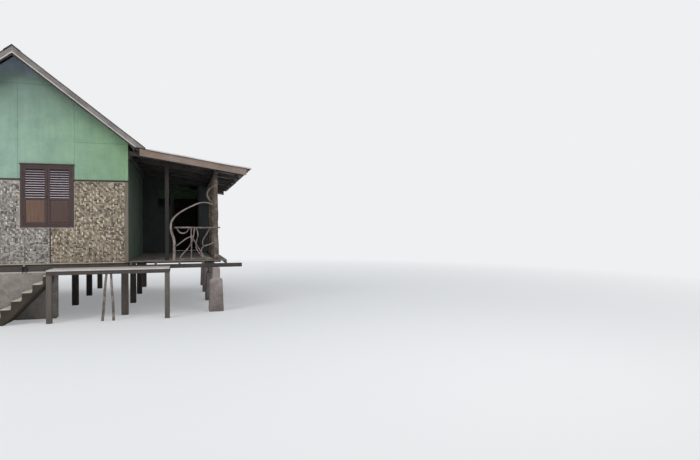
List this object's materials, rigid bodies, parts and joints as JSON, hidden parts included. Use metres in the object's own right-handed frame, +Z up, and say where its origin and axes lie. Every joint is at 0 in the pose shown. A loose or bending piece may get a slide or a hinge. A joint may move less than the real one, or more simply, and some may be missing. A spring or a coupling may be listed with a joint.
{
  "type": "stilt house",
  "caption": "Raised gabled timber house with woven bamboo walls, shuttered windows, a lean-to verandah, a plank walkway and a masonry stair.",
  "frame": {"origin": "ground level under the ridge, in the middle of the front plinth wall's underside", "axes": "+X along the gable wall towards the verandah, +Y from the gable wall towards the back, +Z up"},
  "size_m": [8.337, 8.612, 6.4238],
  "materials": {
    "barge_board": "weathered edge board",
    "brown_joinery": "dark red-brown varnished joinery",
    "deck_boards": "bleached boards",
    "green_boards": "thin boards with faded sage green paint",
    "natural_wood": "natural branches and trunk, dry bark",
    "plaster": "worn lime plaster on masonry",
    "roof_sheet": "corrugated sheet, grey with rusty edges",
    "rough_timber": "rough sawn timber",
    "stair_masonry": "rough rendered masonry with damp stains",
    "stilt_timber": "square sawn timber, weathered",
    "woven_bamboo": "split bamboo woven panel, dry and spotted"
  },
  "bodies": {
    "root": {"back_bamboo_wall": "woven_bamboo", "back_gable_boards": "green_boards", "barge_boards": "barge_board", "belt_battens": "rough_timber", "branch_arch": "natural_wood", "door_lining": "brown_joinery", "end_wall_left": "green_boards", "end_wall_over_door": "green_boards", "end_wall_right": "green_boards", "entry_post": "rough_timber", "floor_bearers": "rough_timber", "floor_joists": "rough_timber", "floor_rims": "rough_timber", "front_bamboo_wall": "woven_bamboo", "front_gable_boards": "green_boards", "front_plinth": "plaster", "front_railing": "natural_wood", "house_floor": "deck_boards", "lean_ledger": "rough_timber", "lean_purlins": "rough_timber", "lean_rafters": "rough_timber", "lean_to_barges": "barge_board", "lean_to_roof": "roof_sheet", "left_bamboo_wall": "woven_bamboo", "left_upper_boards": "green_boards", "lower_corner_boards": "rough_timber", "main_purlins": "rough_timber", "main_rafters": "rough_timber", "main_roof_left": "roof_sheet", "main_roof_right": "roof_sheet", "ridge_board": "rough_timber", "ridge_cap": "roof_sheet", "right_wall_boards": "green_boards", "room_bamboo_wall": "woven_bamboo", "room_upper_boards": "green_boards", "shutters": "brown_joinery", "side_railing": "natural_wood", "stair_flight": "stair_masonry", "stilts": "stilt_timber", "trunk_post": "natural_wood", "upper_corner_boards": "green_boards", "verandah_beam": "rough_timber", "verandah_bearers": "rough_timber", "verandah_deck": "deck_boards", "verandah_piers": "plaster", "verandah_posts": "natural_wood", "walkway_deck": "deck_boards", "walkway_frame": "rough_timber", "walkway_posts": "rough_timber", "wall_plates": "rough_timber", "wall_posts": "rough_timber", "window_frames": "brown_joinery"}
  },
  "joints": []
}
